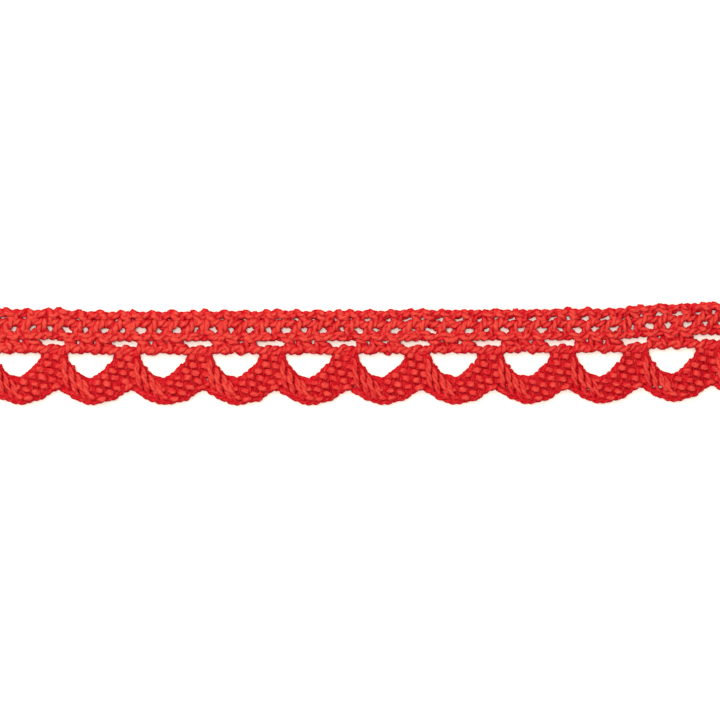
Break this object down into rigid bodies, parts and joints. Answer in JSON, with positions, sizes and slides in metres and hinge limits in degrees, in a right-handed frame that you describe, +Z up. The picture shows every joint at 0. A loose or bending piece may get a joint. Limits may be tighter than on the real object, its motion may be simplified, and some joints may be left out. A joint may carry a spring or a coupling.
{
  "type": "cut length of narrow scalloped cotton lace trim",
  "caption": "Flat narrow strip of red cotton lace edging with a ribbed openwork heading, open eyelets and a woven scalloped edge.",
  "frame": {"origin": "middle of the strip's length and width, on its underside", "axes": "+X along the strip, +Y across it towards the straight heading edge, +Z up out of its face"},
  "size_m": [0.109, 0.0132, 0.0012],
  "materials": {
    "red_cotton": "matt dyed cotton yarn, plied and lightly hairy, in an open bobbin-lace working"
  },
  "bodies": {
    "root": {"lace_trim": "red_cotton"}
  },
  "joints": []
}
